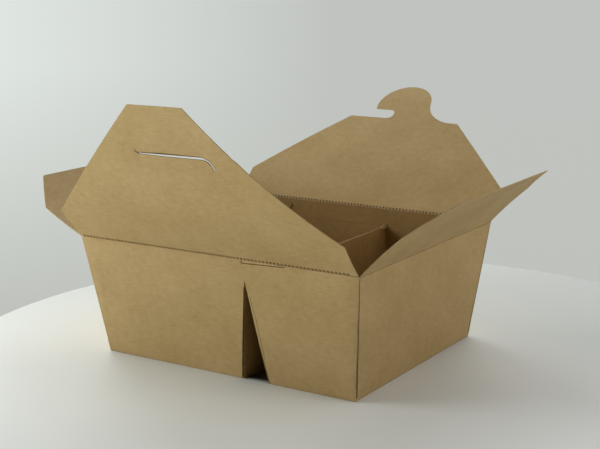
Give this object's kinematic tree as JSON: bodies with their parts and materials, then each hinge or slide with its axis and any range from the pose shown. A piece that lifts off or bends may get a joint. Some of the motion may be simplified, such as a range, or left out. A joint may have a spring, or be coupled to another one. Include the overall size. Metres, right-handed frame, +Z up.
{
  "type": "takeaway box",
  "caption": "Folded kraft board takeaway box with a divider, tapered walls and hinged flaps that close with a hook tab in a slit.",
  "frame": {"origin": "middle of the tray's base, on its underside", "axes": "+X to the right along the front wall, +Y to the back flap, +Z up out of the open top"},
  "size_m": [0.2509, 0.2585, 0.1388],
  "materials": {
    "kraft_board": "matt uncoated brown kraft"
  },
  "bodies": {
    "tray": {"box_body": "kraft_board"},
    "front": {"front_flap": "kraft_board"},
    "back": {"back_flap": "kraft_board"},
    "left": {"left_flap": "kraft_board"},
    "right": {"right_flap": "kraft_board"}
  },
  "joints": [
    {"name": "front_crease", "type": "hinge", "parent": "tray", "child": "front", "pos_m": [0, -0.07028, 0.0635], "axis": [-1, 0, 0], "range_deg": [-66, 116]},
    {"name": "back_crease", "type": "hinge", "parent": "tray", "child": "back", "pos_m": [0, 0.07028, 0.0635], "axis": [1, 0, 0], "range_deg": [-64, 135.6]},
    {"name": "left_crease", "type": "hinge", "parent": "tray", "child": "left", "pos_m": [-0.0827, 0, 0.0629], "axis": [0, 1, 0], "range_deg": [-41, 158]},
    {"name": "right_crease", "type": "hinge", "parent": "tray", "child": "right", "pos_m": [0.0827, 0, 0.0629], "axis": [0, -1, 0], "range_deg": [-66, 139.9]}
  ]
}
